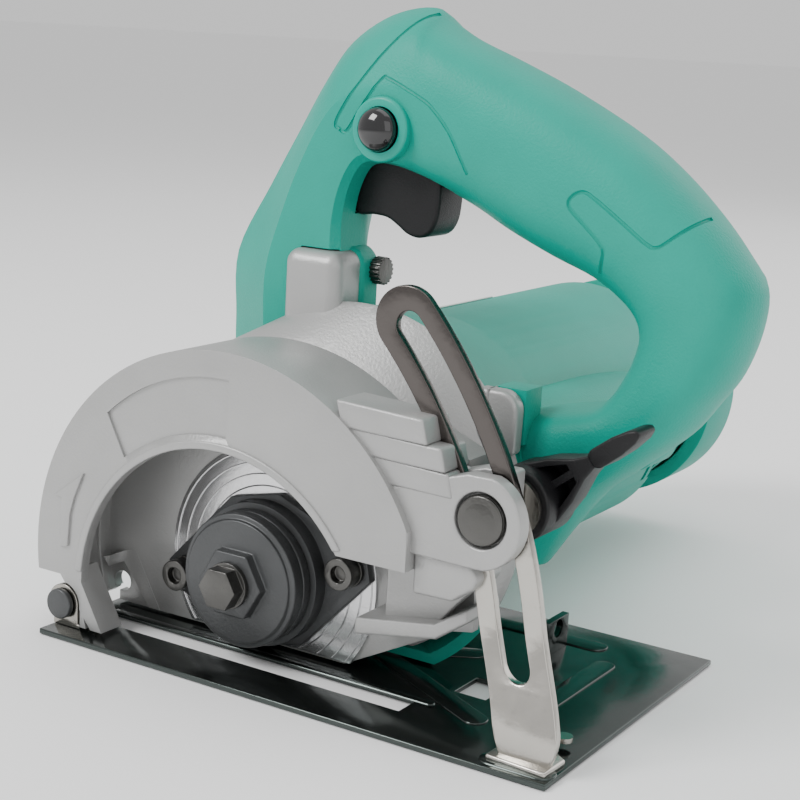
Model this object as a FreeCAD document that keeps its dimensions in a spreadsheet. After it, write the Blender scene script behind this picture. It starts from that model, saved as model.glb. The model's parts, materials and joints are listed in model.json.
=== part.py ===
"""Hand-held 110 mm stone cutter (a small trim saw): parametric model, millimetres.

Frame: origin at the centre of the base plate's underside, +X towards the rear,
+Y from the blade side towards the motor's tail, +Z up. The spindle and the motor
both turn about lines parallel to Y.
"""
import FreeCAD
import Part
import math
import os
import Sketcher
from FreeCAD import Placement, Rotation, Vector

os.makedirs("parts", exist_ok=True)
doc = FreeCAD.newDocument("stone_cutter")

# --------------------------------------------------------------- driving sizes
GEAR_TEETH = 35
PINION_TEETH = 14
GEAR_MODULE = 1.0
MESH_ANGLE = 55.7        # direction from the spindle to the motor axis, degrees from +X
SPINDLE = (-22.0, 23.5)  # X and Z of the spindle axis
CENTRES = GEAR_MODULE * (GEAR_TEETH + PINION_TEETH) / 2
MOTOR = (SPINDLE[0] + CENTRES * math.cos(math.radians(MESH_ANGLE)),
         SPINDLE[1] + CENTRES * math.sin(math.radians(MESH_ANGLE)))
PIVOT = (-74.5, 8.0)     # front hinge of the base plate
ARM_RADIUS = 135.5       # depth arm: an arc about the front hinge
BOLT_ANGLE = 21.0        # where the clamp bolt sits on that arc
BOLT = (PIVOT[0] + ARM_RADIUS * math.cos(math.radians(BOLT_ANGLE)),
        PIVOT[1] + ARM_RADIUS * math.sin(math.radians(BOLT_ANGLE)))

SIZES = [
    ("base_length", 155.0), ("base_width", 100.0), ("base_thick", 1.5),
    ("slot_front", -73.0), ("slot_rear", 29.0), ("slot_width", 8.5), ("blade_y", -30.75),
    ("spindle_x", SPINDLE[0]), ("spindle_z", SPINDLE[1]),
    ("motor_x", MOTOR[0]), ("motor_z", MOTOR[1]),
    ("pivot_x", PIVOT[0]), ("pivot_z", PIVOT[1]), ("pivot_bore", 3.0),
    ("bolt_x", BOLT[0]), ("bolt_z", BOLT[1]), ("bolt_shank", 2.9),
    ("arm_radius", ARM_RADIUS), ("arm_width", 17.0), ("arm_slot", 7.2),
    ("arm_thick", 2.5), ("arm_y", -36.75),
    ("guard_outer", 62.0), ("guard_inner", 58.0), ("guard_front", -44.0),
    ("guard_face", 3.0), ("guard_back", -16.5), ("guard_wall", 3.0),
    ("mouth_radius", 45.0), ("mouth_x", -23.0), ("mouth_z", 15.0),
    ("flange_radius", 18.0), ("flange_front", -35.5), ("flange_thick", 5.0),
    ("inner_flange_thick", 2.9), ("spindle_radius", 6.0), ("tail_radius", 4.0),
    ("box_drum", 19.5), ("box_spigot", 18.0), ("box_front", -27.3),
    ("box_face", -22.8), ("box_seat", -19.5), ("box_screw_pcd", 54.6),
    ("case_x", -6.7), ("case_z", 44.9), ("case_radius", 50.8), ("case_rear", -4.6),
    ("case_front_radius", 61.0), ("case_wall", 3.0), ("floor_z", 2.3),
    ("barrel_radius", 34.0), ("barrel_bore", 31.0), ("barrel_rear", 158.0),
    ("cover_x", -6.0), ("cover_z", 50.0), ("cover_radius", 37.0), ("cover_rear", 175.0),
    ("upper_x", -6.0), ("upper_z", 52.5), ("upper_radius", 36.0), ("taper_front", 128.0),
    ("neck_radius", 31.0), ("neck_bore", 28.0),
    ("handle_near", -4.0), ("handle_mid", 13.0), ("handle_far", 30.0), ("shell_wall", 3.0),
    ("button_x", -4.4), ("button_z", 140.8), ("button_radius", 5.6),
    ("stator_front", 38.0), ("stator_rear", 88.0), ("stator_radius", 30.8), ("air_gap", 0.6),
    ("armature_radius", 19.0), ("commutator_radius", 12.5), ("fan_radius", 28.0),
]
sheet = doc.addObject("Spreadsheet::Sheet", "dims")
for row, (alias, number) in enumerate(SIZES, start=1):
    sheet.set("A%d" % row, alias)
    sheet.set("B%d" % row, "%.4f" % number)
    sheet.setAlias("B%d" % row, alias)
doc.recompute()
ALONG_Y = Rotation(Vector(1, 0, 0), -90)
UPRIGHT = Rotation(Vector(1, 0, 0), 90)
NODES = []


def size(alias):
    """The number in the sheet's cell."""
    return float(sheet.get(alias))


def cell(value):
    """An expression for a number, a cell's alias or an expression over the sheet."""
    text = str(value)
    for alias in sorted((name for name, _ in SIZES), key=len, reverse=True):
        text = text.replace(alias, "@%d@" % [n for n, _ in SIZES].index(alias))
    for index, (alias, _) in enumerate(SIZES):
        text = text.replace("@%d@" % index, "dims." + alias)
    return text


def at(obj, x, y, z, turn=None):
    """Place an object; each of x, y, z is a number, an alias or an expression."""
    obj.Placement = Placement(Vector(0, 0, 0), turn or Rotation())
    for axis, value in zip("xyz", (x, y, z)):
        obj.setExpression("Placement.Base." + axis, cell(value))
    return obj


def rod(radius, front, rear, x, z, name="rod"):
    """A cylinder along Y from front to rear."""
    obj = doc.addObject("Part::Cylinder", name)
    obj.setExpression("Radius", cell(radius))
    obj.setExpression("Height", "(%s) - (%s)" % (cell(rear), cell(front)))
    return at(obj, x, front, z, ALONG_Y)


def post(radius, bottom, top, x, y, name="post"):
    """A cylinder along Z."""
    obj = doc.addObject("Part::Cylinder", name)
    obj.setExpression("Radius", cell(radius))
    obj.setExpression("Height", "(%s) - (%s)" % (cell(top), cell(bottom)))
    return at(obj, x, y, bottom)


def bar(radius, start, end, y, z, name="bar"):
    """A cylinder along X."""
    obj = doc.addObject("Part::Cylinder", name)
    obj.setExpression("Radius", cell(radius))
    obj.setExpression("Height", "(%s) - (%s)" % (cell(end), cell(start)))
    return at(obj, start, y, z, Rotation(Vector(0, 1, 0), 90))


def block(x0, x1, y0, y1, z0, z1, name="block"):
    """A box between two corners."""
    obj = doc.addObject("Part::Box", name)
    obj.setExpression("Length", "(%s) - (%s)" % (cell(x1), cell(x0)))
    obj.setExpression("Width", "(%s) - (%s)" % (cell(y1), cell(y0)))
    obj.setExpression("Height", "(%s) - (%s)" % (cell(z1), cell(z0)))
    return at(obj, x0, y0, z0)


def fuse(*parts, name="joined"):
    """The union of several objects."""
    obj = doc.addObject("Part::MultiFuse", name)
    obj.Shapes = list(parts)
    obj.Refine = False
    return obj


def cut(base, *tools, name="cut"):
    """The base without the tools."""
    obj = doc.addObject("Part::Cut", name)
    obj.Base = base
    obj.Tool = tools[0] if len(tools) == 1 else fuse(*tools, name=name + "_tools")
    obj.Refine = False
    return obj


def common(base, tool, name="common"):
    """What two objects share."""
    obj = doc.addObject("Part::Common", name)
    obj.Base = base
    obj.Tool = tool
    return obj


def sketch(points, y=0.0, name="outline"):
    """A closed outline in the XZ plane; a point with a third value is an arc's middle."""
    obj = doc.addObject("Sketcher::SketchObject", name)
    obj.Placement = Placement(Vector(0, y, 0), UPRIGHT)
    corners = [Vector(p[0], p[1], 0) for p in points]
    arcs = [len(p) > 2 for p in points]
    start = 0
    count = len(points)
    while start < count:
        nxt = (start + 1) % count
        if arcs[nxt]:
            end = (start + 2) % count
            obj.addGeometry(Part.Arc(corners[start], corners[nxt], corners[end]))
            start += 2
        else:
            obj.addGeometry(Part.LineSegment(corners[start], corners[nxt]))
            start += 1
    return obj


def prism(points, front, rear, name="prism"):
    """An XZ outline extruded along Y from front to rear."""
    flat = sketch(points, 0.0, name + "_outline")
    flat.setExpression("Placement.Base.y", cell(front))
    obj = doc.addObject("Part::Extrusion", name)
    obj.Base = flat
    obj.DirMode = "Custom"
    obj.Dir = Vector(0, 1, 0)
    obj.setExpression("LengthFwd", "(%s) - (%s)" % (cell(rear), cell(front)))
    obj.Solid = True
    return obj


def cone_loft(ring_a, ring_b, name="loft"):
    """A straight loft between two circles given as (radius, y, x, z)."""
    circles = []
    for radius, y, x, z in (ring_a, ring_b):
        ring = doc.addObject("Part::Circle", name + "_ring")
        ring.setExpression("Radius", cell(radius))
        at(ring, x, y, z, ALONG_Y)
        circles.append(ring)
    obj = doc.addObject("Part::Loft", name)
    obj.Sections = circles
    obj.Solid = True
    obj.Ruled = True
    return obj


def node(label, obj):
    """Name a finished sub-part."""
    obj.Label = label
    NODES.append((label, obj))
    return obj


def axis_ring(radius, bore, front, rear, axis, name="ring"):
    """A ring along Y on the spindle or motor axis."""
    x, z = axis
    return cut(rod(radius, front, rear, x, z), rod(bore, front + " - 1" if isinstance(front, str)
               else front - 1, rear + " + 1" if isinstance(rear, str) else rear + 1, x, z), name=name)


SPINDLE_AXIS = ("spindle_x", "spindle_z")
MOTOR_AXIS = ("motor_x", "motor_z")
CASE_AXIS = ("case_x", "case_z")


# ------------------------------------------------------------------ base plate
def body_pad(label, draw, height, bottom=0.0):
    """A PartDesign body with one pad on the XY plane."""
    body = doc.addObject("PartDesign::Body", label)
    body.Placement = Placement(Vector(0, 0, bottom), Rotation())
    flat = body.newObject("Sketcher::SketchObject", label + "_sketch")
    plane = [f for f in body.Origin.OriginFeatures if f.Role == "XY_Plane"][0]
    flat.AttachmentSupport = [(plane, "")]
    flat.MapMode = "FlatFace"
    draw(flat)
    pad = body.newObject("PartDesign::Pad", label + "_pad")
    pad.Profile = flat
    pad.setExpression("Length", cell(height))
    body.Tip = pad
    doc.recompute()
    return body, flat, pad


def rectangle(flat, length, width):
    """A centred rectangle whose two sides are bound to the sheet."""
    corners = [Vector(-9, -9, 0), Vector(9, -9, 0), Vector(9, 9, 0), Vector(-9, 9, 0)]
    first = flat.addGeometry([Part.LineSegment(corners[i], corners[(i + 1) % 4]) for i in range(4)])[0]
    for i in range(4):
        flat.addConstraint(Sketcher.Constraint("Coincident", first + i, 2, first + (i + 1) % 4, 1))
    for i, kind in enumerate(("Horizontal", "Vertical", "Horizontal", "Vertical")):
        flat.addConstraint(Sketcher.Constraint(kind, first + i))
    flat.addConstraint(Sketcher.Constraint("Symmetric", first, 1, first + 1, 2, -1, 1))
    wide = flat.addConstraint(Sketcher.Constraint("Distance", first, 18.0))
    flat.setExpression("Constraints[%d]" % wide, cell(length))
    deep = flat.addConstraint(Sketcher.Constraint("Distance", first + 1, 18.0))
    flat.setExpression("Constraints[%d]" % deep, cell(width))


def pocket_slot(body, name, x0, x1, y0, y1):
    """A rectangular pocket through the plate."""
    flat = body.newObject("Sketcher::SketchObject", name + "_sketch")
    plane = [f for f in body.Origin.OriginFeatures if f.Role == "XY_Plane"][0]
    flat.AttachmentSupport = [(plane, "")]
    flat.MapMode = "FlatFace"
    corners = [Vector(x0, y0, 0), Vector(x1, y0, 0), Vector(x1, y1, 0), Vector(x0, y1, 0)]
    flat.addGeometry([Part.LineSegment(corners[i], corners[(i + 1) % 4]) for i in range(4)])
    hole = body.newObject("PartDesign::Pocket", name)
    hole.Profile = flat
    hole.Type = "ThroughAll"
    hole.Reversed = True
    body.Tip = hole
    return hole


plate, _, _ = body_pad("base_plate", lambda s: rectangle(s, "base_length", "base_width"),
                               "base_thick")
SLOT = (size("slot_front"), size("slot_rear"),
        size("blade_y") - size("slot_width") / 2, size("blade_y") + size("slot_width") / 2)
WINDOW = (33.5, 42.5, -15.0, -3.0)        # hole that takes a guide fence
pocket_slot(plate, "blade_slot", *SLOT)
pocket_slot(plate, "tab_window", *WINDOW)
node("base_plate", plate)

TAB = (39.0, 41.0, 22.0, 34.0, 11.0)      # fence tab: x0, x1, y0, y1, height
tab = cut(block(TAB[0], TAB[1], TAB[2], TAB[3], "base_thick", TAB[4]),
          bar(2.6, TAB[0] - 1, TAB[1] + 1, (TAB[2] + TAB[3]) / 2, 8.0), name="tab_hole")
node("fence_tab", tab)

# front hinge: a bracket on the plate with two ears, and a rivet through the guard's lug
EARS = ((-43.9, -42.0), (-37.3, -35.4))
LUG = (-41.7, -37.6)
ear_solids = []
for ear_near, ear_far in EARS:
    ear_solids.append(rod(5.2, ear_near, ear_far, "pivot_x", "pivot_z"))
    ear_solids.append(block("pivot_x - 3.4", "pivot_x + 5.2", ear_near, ear_far, "base_thick", "pivot_z"))
bracket_foot = block(-77.5, -68.5, -43.9, -35.4, "base_thick", "base_thick + 1.2")
node("pivot_bracket", cut(fuse(bracket_foot, *ear_solids),
                          rod("pivot_bore", -50, -30, "pivot_x", "pivot_z"), name="bracket_bore"))
node("pivot_rivet", fuse(rod("pivot_bore - 0.06", -45.2, -34.9, "pivot_x", "pivot_z"),
                         rod(4.2, -46.0, -44.2, "pivot_x", "pivot_z"),
                         rod(4.2, -35.1, -34.3, "pivot_x", "pivot_z"), name="rivet"))


# ------------------------------------------------------------------- depth arm
def polar(radius, degrees):
    """A point on an arc about the front hinge."""
    turn = math.radians(degrees)
    return (PIVOT[0] + radius * math.cos(turn), PIVOT[1] + radius * math.sin(turn))


def arc_slot(radius, half, low, high):
    """A curved slot's outline about the front hinge, with round ends."""
    cap = math.degrees(half / radius)
    mid = (low + high) / 2
    return [polar(radius - half, low), polar(radius - half, mid) + (1,), polar(radius - half, high),
            polar(radius, high + cap) + (1,), polar(radius + half, high),
            polar(radius + half, mid) + (1,), polar(radius + half, low), polar(radius, low - cap) + (1,)]


ARM_SLOT_LOW = 6.2
ARM_SLOT_HIGH = 41.6
ARM_FOOT_ANGLE = -1.6
half_arm = size("arm_width") / 2
arm_far = "arm_y + arm_thick"
arm_strip = prism(arc_slot(ARM_RADIUS, half_arm, ARM_FOOT_ANGLE + 2.5, ARM_SLOT_HIGH + 0.6),
                  "arm_y", arm_far, "arm_strip")
arm_window = prism(arc_slot(ARM_RADIUS, size("arm_slot") / 2, ARM_SLOT_LOW, ARM_SLOT_HIGH),
                   "arm_y - 1", arm_far + " + 1", "arm_window")
arm_foot = block(60.0, 75.5, -44.5, -24.8, "base_thick", "base_thick + 2.0")
arm_trim = block(30, 90, -60, 0, -30, "base_thick")
node("depth_arm", cut(fuse(arm_strip, arm_foot), arm_window, arm_trim, name="arm_cut"))
rivets = [post(2.2, "base_thick + 2.0", "base_thick + 3.2", x, -29.0) for x in (64.0, 71.5)]
node("arm_rivets", fuse(*rivets, name="arm_rivet_heads"))

SCREW_TILT = 12.8
screw_dir = (math.cos(math.radians(SCREW_TILT)), math.sin(math.radians(SCREW_TILT)))


def box_point(along, across):
    """A point on the bearing box's flange, measured from the spindle."""
    return (SPINDLE[0] + along * screw_dir[0] - across * screw_dir[1],
            SPINDLE[1] + along * screw_dir[1] + across * screw_dir[0])


screw_spots = [box_point(side * size("box_screw_pcd") / 2, 0) for side in (-1, 1)]

# ----------------------------------------------------------------- blade guard
CLEVIS = (34.0, 61.5, 43.5, 68.5)         # x0, x1, z0, z1 of the rear clamp block
CLEVIS_NEAR = -41.5
CLEVIS_FAR = -27.0
shell = rod("guard_outer", "guard_front", "guard_back", *SPINDLE_AXIS)
hollow = rod("guard_inner", "guard_front + guard_face", "guard_back - guard_wall", *SPINDLE_AXIS)
mouth = rod("mouth_radius", "guard_front - 1", "guard_front + guard_face + 1", "mouth_x", "mouth_z")
under = block(-100, 60, -60, 0, -60, "floor_z")
front_end = block(-100, -68.3, -60, -26.2, -60, 16.0)
front_heel = block(-100, -75.5, -26.3, 0, -60, 6.0)
rear_end = block(14.0, 70, -60, "guard_back - guard_wall", -60, 40.5)
wedge = prism([(-2.0, 0.0), (60.0, 0.0), (60.0, 24.0), (34.0, 19.0)], -60.0, 0.0, "guard_wedge")
rear_web = prism([(24.0, 40.0), (40.0, 44.0), (40.0, 66.0), (20.0, 74.0)],
                 CLEVIS_NEAR, "guard_back", "guard_web")
clevis = prism([(CLEVIS[0], CLEVIS[2]), (CLEVIS[1] - 5, CLEVIS[2]), (CLEVIS[1], CLEVIS[2] + 6),
                (CLEVIS[1], CLEVIS[3] - 7), (CLEVIS[1] - 7, CLEVIS[3]), (CLEVIS[0], CLEVIS[3])],
               CLEVIS_NEAR, CLEVIS_FAR, "guard_clevis")
foot_outline = [(-76.0, 16.5), (-64.5, 2.3), (-60.5, 2.3), (-70.0, 18.5)]
feet = [prism(foot_outline, y0, y1, "guard_foot") for y0, y1 in ((-44.0, -35.5), (-26.2, -16.5))]
lug = rod(4.6, LUG[0], LUG[1], "pivot_x", "pivot_z")
lug_web = prism([(-74.5, 12.4), (-69.5, 17.0), (-64.0, 8.0), (-70.5, 5.8)], LUG[0], LUG[1], "lug_web")
arm_gap_y = ("arm_y - 0.4", "arm_y + arm_thick + 0.4")
gap_sweep = prism(arc_slot(ARM_RADIUS, half_arm + 0.6, -4.0, 62.0), *arm_gap_y, name="arm_gap")
ear_room = rod(6.0, -44.5, LUG[0], "pivot_x", "pivot_z")
ear_room_far = rod(6.0, LUG[1], -30.0, "pivot_x", "pivot_z")
guard_body = fuse(cut(shell, hollow, mouth, front_end, front_heel, rear_end), rear_web, clevis, *feet)
guard_trim = cut(guard_body, under, wedge, ear_room, ear_room_far, gap_sweep)
guard_lug = cut(fuse(guard_trim, lug, lug_web),
                rod("pivot_bore", -60, 0, "pivot_x", "pivot_z"),
                rod("bolt_shank + 0.3", -60, -20, "bolt_x", "bolt_z"),
                rod(6.5, -60, CLEVIS_NEAR + 2.2, "bolt_x", "bolt_z"),
                rod("box_spigot + 0.1", -30, 0, *SPINDLE_AXIS),
                *[rod(2.7, -30, 0, x, z) for x, z in screw_spots],
                name="guard_bores")
node("blade_guard", guard_lug)
node("clamp_bolt", fuse(rod(6.0, CLEVIS_NEAR - 0.8, CLEVIS_NEAR + 2.0, "bolt_x", "bolt_z"),
                        rod("bolt_shank", CLEVIS_NEAR + 1.0, -12.0, "bolt_x", "bolt_z"), name="bolt_solid"))
node("clamp_washer", axis_ring(7.5, 3.1, CLEVIS_FAR + 0.05, CLEVIS_FAR + 1.4, ("bolt_x", "bolt_z")))

# clamp lever: a nut with an arm that leans up and back
LEVER_ANGLE = 38.0
lever_dir = (math.cos(math.radians(LEVER_ANGLE)), math.sin(math.radians(LEVER_ANGLE)))


def lever_point(along, across):
    """A point on the lever, measured from the clamp bolt."""
    return (BOLT[0] + along * lever_dir[0] - across * lever_dir[1],
            BOLT[1] + along * lever_dir[1] + across * lever_dir[0])


lever_arm = prism([lever_point(0, -9), lever_point(20, -6), lever_point(38, -4.5),
                   lever_point(40.5, 0) + (1,), lever_point(38, 4.5), lever_point(20, 6),
                   lever_point(0, 9)], -20.0, -11.0, "lever_arm")
lever_hub = rod(9.5, CLEVIS_FAR + 1.6, -9.5, "bolt_x", "bolt_z")
node("clamp_lever", cut(fuse(lever_arm, lever_hub), rod("bolt_shank + 0.05", -40, 0, "bolt_x", "bolt_z"),
                        name="lever_bore"))

# ------------------------------------------------------ spindle and its flanges
FLANGE_REAR = "flange_front + flange_thick"
INNER_REAR = "flange_front + flange_thick + inner_flange_thick"
def hexagon(radius, height, front, name):
    """A hexagonal prism along Y on the spindle's axis; radius is to a corner."""
    obj = doc.addObject("Part::Prism", name)
    obj.Polygon = 6
    obj.Circumradius = radius
    obj.Height = height
    return at(obj, "spindle_x", front, "spindle_z", ALONG_Y)


flange = fuse(rod("flange_radius", "flange_front + 1", FLANGE_REAR, *SPINDLE_AXIS),
              rod("flange_radius - 1.5", "flange_front", "flange_front + 2", *SPINDLE_AXIS),
              hexagon(9.8, 4.0, "flange_front - 3.0", "flange_boss"))
node("outer_flange", cut(flange, rod(4.1, -60, 0, *SPINDLE_AXIS),
                         rod("spindle_radius + 0.05", "flange_front + 2.5", 0, *SPINDLE_AXIS)))
node("inner_flange", axis_ring("flange_radius", "spindle_radius", FLANGE_REAR + " + 0.05",
                               INNER_REAR, SPINDLE_AXIS))
bolt_head = hexagon(5.8, 4.2, "flange_front - 8.4", "bolt_hex")
node("flange_bolt", fuse(bolt_head, rod(6.2, "flange_front - 4.4", "flange_front - 3.05", *SPINDLE_AXIS),
                         rod(3.95, "flange_front - 4", "flange_front + 18", *SPINDLE_AXIS)))
spindle_solid = fuse(rod("spindle_radius", "flange_front + 3", -6.0, *SPINDLE_AXIS),
                     rod("tail_radius", -7.0, 2.6, *SPINDLE_AXIS))
node("spindle", cut(spindle_solid, rod(4.0, -60, "flange_front + 20", *SPINDLE_AXIS)))
node("front_bearing", axis_ring(15.9, "spindle_radius + 0.05", -26.0, -16.0, SPINDLE_AXIS))
node("rear_bearing", axis_ring(10.9, "tail_radius + 0.05", -4.3, 2.4, SPINDLE_AXIS))

# bearing box: a round nose on a rhombic flange, held by two socket screws
rhombus = prism([box_point(33, -3.5), box_point(33, 3.5), box_point(8, 20.4), box_point(-8, 20.4),
                 box_point(-33, 3.5), box_point(-33, -3.5), box_point(-8, -20.4), box_point(8, -20.4)],
                "box_face", "box_seat", "rhombus")
box_solid = fuse(rhombus, rod("box_drum", "box_front", "box_face + 1", *SPINDLE_AXIS),
                 rod("box_spigot", "box_seat - 1", -14.2, *SPINDLE_AXIS))
node("bearing_box", cut(box_solid, rod(15.95, -26.1, 0, *SPINDLE_AXIS), rod(8.0, -60, 0, *SPINDLE_AXIS),
                        *[rod(2.7, -60, 0, x, z) for x, z in screw_spots]))
screws = []
washers = []
for x, z in screw_spots:
    head = cut(rod(4.25, -28.4, -24.1, x, z), rod(2.2, -29.0, -26.2, x, z))
    screws.append(fuse(head, rod(2.4, -24.5, -14.0, x, z)))
    washers.append(axis_ring(4.5, 2.7, -24.0, "box_face - 0.05", (x, z)))
node("bearing_box_screws", fuse(*screws, name="box_screws"))
node("spring_washers", fuse(*washers, name="box_washers"))


# ------------------------------------------------------------------- gear pair
def involute_gear(teeth, bore, front, rear, axis, turn, addendum):
    """A spur gear with true involute flanks, thinned for backlash."""
    module = GEAR_MODULE
    pitch = module * teeth / 2
    base_circle = pitch * math.cos(math.radians(20))
    tip = pitch + addendum * module
    root = pitch - 1.25 * module
    backlash = 0.18

    def involute(radius):
        cosine = min(1.0, base_circle / radius)
        angle = math.acos(cosine)
        return math.tan(angle) - angle

    half_tooth = (math.pi * module / 2 - backlash) / 2 / pitch
    outline = []
    for index in range(teeth):
        middle = turn + 2 * math.pi * index / teeth
        flank = []
        steps = 5
        low = max(base_circle, root)
        for step in range(steps + 1):
            radius = low + (tip - low) * step / steps
            flank.append((radius, half_tooth + involute(pitch) - involute(radius)))
        side = [(root, flank[0][1])] + flank
        outline += [(radius, middle - angle) for radius, angle in side]
        outline += [(radius, middle + angle) for radius, angle in reversed(side)]
    points = [Vector(axis[0] + r * math.cos(a), front, axis[1] + r * math.sin(a)) for r, a in outline]
    face = Part.Face(Part.makePolygon(points + [points[0]]))
    solid = face.extrude(Vector(0, rear - front, 0))
    hole = Part.makeCylinder(bore, rear - front + 2, Vector(axis[0], front - 1, axis[1]), Vector(0, 1, 0))
    return solid.cut(hole)


GEAR_FRONT = -13.0
GEAR_REAR = -6.2
mesh = math.radians(MESH_ANGLE)
gear = doc.addObject("Part::Feature", "driven_gear")
gear.Shape = involute_gear(GEAR_TEETH, size("spindle_radius"), GEAR_FRONT, GEAR_REAR, SPINDLE, mesh, 0.85)
node("driven_gear", gear)
pinion = doc.addObject("Part::Feature", "pinion")
pinion.Shape = involute_gear(PINION_TEETH, 4.0, GEAR_FRONT - 0.2, GEAR_REAR + 0.2, MOTOR,
                             mesh + math.pi + math.pi / PINION_TEETH, 0.9)
node("pinion", pinion)

# ------------------------------------------------- gear housing and motor casing
CONE_REAR = 30.0
cone_out = cone_loft(("case_radius", "case_rear", *CASE_AXIS),
                     ("barrel_radius", CONE_REAR, *MOTOR_AXIS), "cone_outside")
cone_in = cone_loft(("case_radius - case_wall", "case_rear - 0.1", *CASE_AXIS),
                    ("barrel_bore", CONE_REAR, *MOTOR_AXIS), "cone_inside")
UPPER_AXIS = ("upper_x", "upper_z")
COVER_AXIS = ("cover_x", "cover_z")
upper_cone = cone_loft(("case_radius", "case_rear", *CASE_AXIS),
                       ("upper_radius", CONE_REAR + 4, *UPPER_AXIS), "upper_cone")
case_outside = cone_loft(("case_front_radius", "guard_back", *SPINDLE_AXIS),
                         ("case_radius", "case_rear", *CASE_AXIS), "case_outside")
case_inside = cone_loft(("case_front_radius - case_wall", "guard_back + case_wall", *SPINDLE_AXIS),
                        ("case_radius - case_wall", "case_rear + 0.1", *CASE_AXIS), "case_inside")
case_bottom = prism([(-100.0, -60.0), (100.0, -60.0), (100.0, 40.0), (34.0, 19.0), (-2.0, 2.3),
                     (-60.0, 2.3), (-76.0, 16.0), (-100.0, 16.0)], -30.0, 0.0, "case_bottom")
case_floor = prism([(-100.0, -60.0), (100.0, -60.0), (100.0, 43.0), (34.0, 22.2), (-3.0, 4.6),
                    (-58.0, 4.6), (-74.0, 19.0), (-100.0, 19.0)], -30.0, 0.0, "case_floor")
BOSS = (-31.5, -13.5, -8.0, 9.5, 80.0, 108.0)
boss = block(*BOSS, name="case_boss")
boss_round = doc.addObject("Part::Fillet", "case_boss_round")
boss_round.Base = boss
doc.recompute()
boss_round.Edges = [(i + 1, 4.0, 4.0) for i, edge in enumerate(boss.Shape.Edges)
                    if abs(edge.CenterOfMass.z - 94.0) < 0.1 or edge.CenterOfMass.z > 107.0]
SCREW_EAR = (34.0, 42.5, -9.5, -4.6, 66.0, 80.0)
ear = block(*SCREW_EAR, name="case_ear")
HANDLE_SCREW = (6.0, 102.5)               # Y and Z of the screw through the boss
case_shell = cut(cut(case_outside, case_bottom), cut(case_inside, case_floor))
case_boss_seated = cut(boss_round, cone_out, upper_cone)
node("gear_housing", cut(fuse(case_shell, case_boss_seated, ear),
                         rod("box_spigot + 0.1", -30, -10, *SPINDLE_AXIS),
                         *[rod(2.5, -30, -10, x, z) for x, z in screw_spots],
                         rod(2.5, -12, 0, 38.3, 74.0), rod(3.7, -12, -6.55, 38.3, 74.0),
                         bar(2.2, -28.0, -10.0, *HANDLE_SCREW),
                         name="gear_housing_bores"))
node("case_screw", fuse(rod(3.6, -9.3, -6.6, 38.3, 74.0), rod(2.4, -7.0, 2.0, 38.3, 74.0)))

PLATE_REAR = -1.0
plate_disc = cut(rod("case_radius - case_wall - 3.5", "case_rear + 0.3", PLATE_REAR, *CASE_AXIS),
                 block(-100, 100, -30, 60, -60, 5.6))
plate_solid = fuse(plate_disc, rod(13.5, "case_rear + 0.3", 3.2, *SPINDLE_AXIS),
                   rod(16.0, "case_rear + 0.3", 7.6, *MOTOR_AXIS))
plate_vents = [rod(3.5, -10, 5, size("case_x") + 36.0 * math.cos(math.radians(a)),
                   size("case_z") + 36.0 * math.sin(math.radians(a))) for a in range(-20, 220, 30)]
node("bearing_plate", cut(plate_solid, rod(11.0, -4.4, 4, *SPINDLE_AXIS), rod(6.5, -10, 4, *SPINDLE_AXIS),
                          rod(13.1, -0.9, 9, *MOTOR_AXIS), rod(8.0, -10, 9, *MOTOR_AXIS), *plate_vents))
node("armature_front_bearing", axis_ring(13.0, 5.05, -0.8, 7.2, MOTOR_AXIS))
node("armature_rear_bearing", axis_ring(11.0, 4.05, 140.0, 147.0, MOTOR_AXIS))

barrel_out = rod("barrel_radius", CONE_REAR - 1, "taper_front", *MOTOR_AXIS)
barrel_in = rod("barrel_bore", CONE_REAR - 1, "taper_front", *MOTOR_AXIS)
spider = cut(rod(29.8, 139.0, 147.5, -7.1, 46.85), rod(11.05, 130, 150, *MOTOR_AXIS))
spider_vents = [rod(5.0, 130, 150, MOTOR[0] + 21.0 * math.cos(math.radians(a)),
                    MOTOR[1] + 21.0 * math.sin(math.radians(a))) for a in range(0, 360, 60)]
upper_cone_in = cone_loft(("case_radius - case_wall", "case_rear - 0.1", *CASE_AXIS),
                          ("upper_radius - case_wall", CONE_REAR + 4, *UPPER_AXIS), "upper_cone_inside")
upper_out = rod("upper_radius", CONE_REAR + 3, "taper_front", *UPPER_AXIS)
upper_in = rod("upper_radius - case_wall", CONE_REAR + 3, "taper_front", *UPPER_AXIS)
tapers = [cone_loft((radius, "taper_front - 0.5", *axis), (end, "barrel_rear", *COVER_AXIS), "taper")
          for radius, axis, end in (("barrel_radius", MOTOR_AXIS, "neck_radius"),
                                    ("upper_radius", UPPER_AXIS, "neck_radius"))]
tapers_in = [cone_loft((radius, "taper_front - 0.6", *axis), (end, "barrel_rear + 0.1", *COVER_AXIS), "taper_in")
             for radius, axis, end in (("barrel_bore", MOTOR_AXIS, "neck_bore"),
                                       ("upper_radius - case_wall", UPPER_AXIS, "neck_bore"))]
casing_under = block(-100, 100, -30, 60, -60, "floor_z")
casing_floor = block(-100, 100, -30, 60, -60, 5.0)
BRUSH_Y = (105.0, 115.0)
brush_y = sum(BRUSH_Y) / 2
brush_bosses = bar(8.0, MOTOR[0] - 37.0, MOTOR[0] + 37.0, brush_y, MOTOR[1])
brush_bore = bar(6.0, MOTOR[0] - 45.0, MOTOR[0] + 45.0, brush_y, MOTOR[1])
outside = cut(fuse(cone_out, barrel_out, upper_cone, upper_out, brush_bosses, *tapers), casing_under)
inside = cut(fuse(cone_in, barrel_in, upper_cone_in, upper_in, *tapers_in), casing_floor)
casing = fuse(cut(outside, inside), cut(spider, *spider_vents), name="casing")
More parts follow.
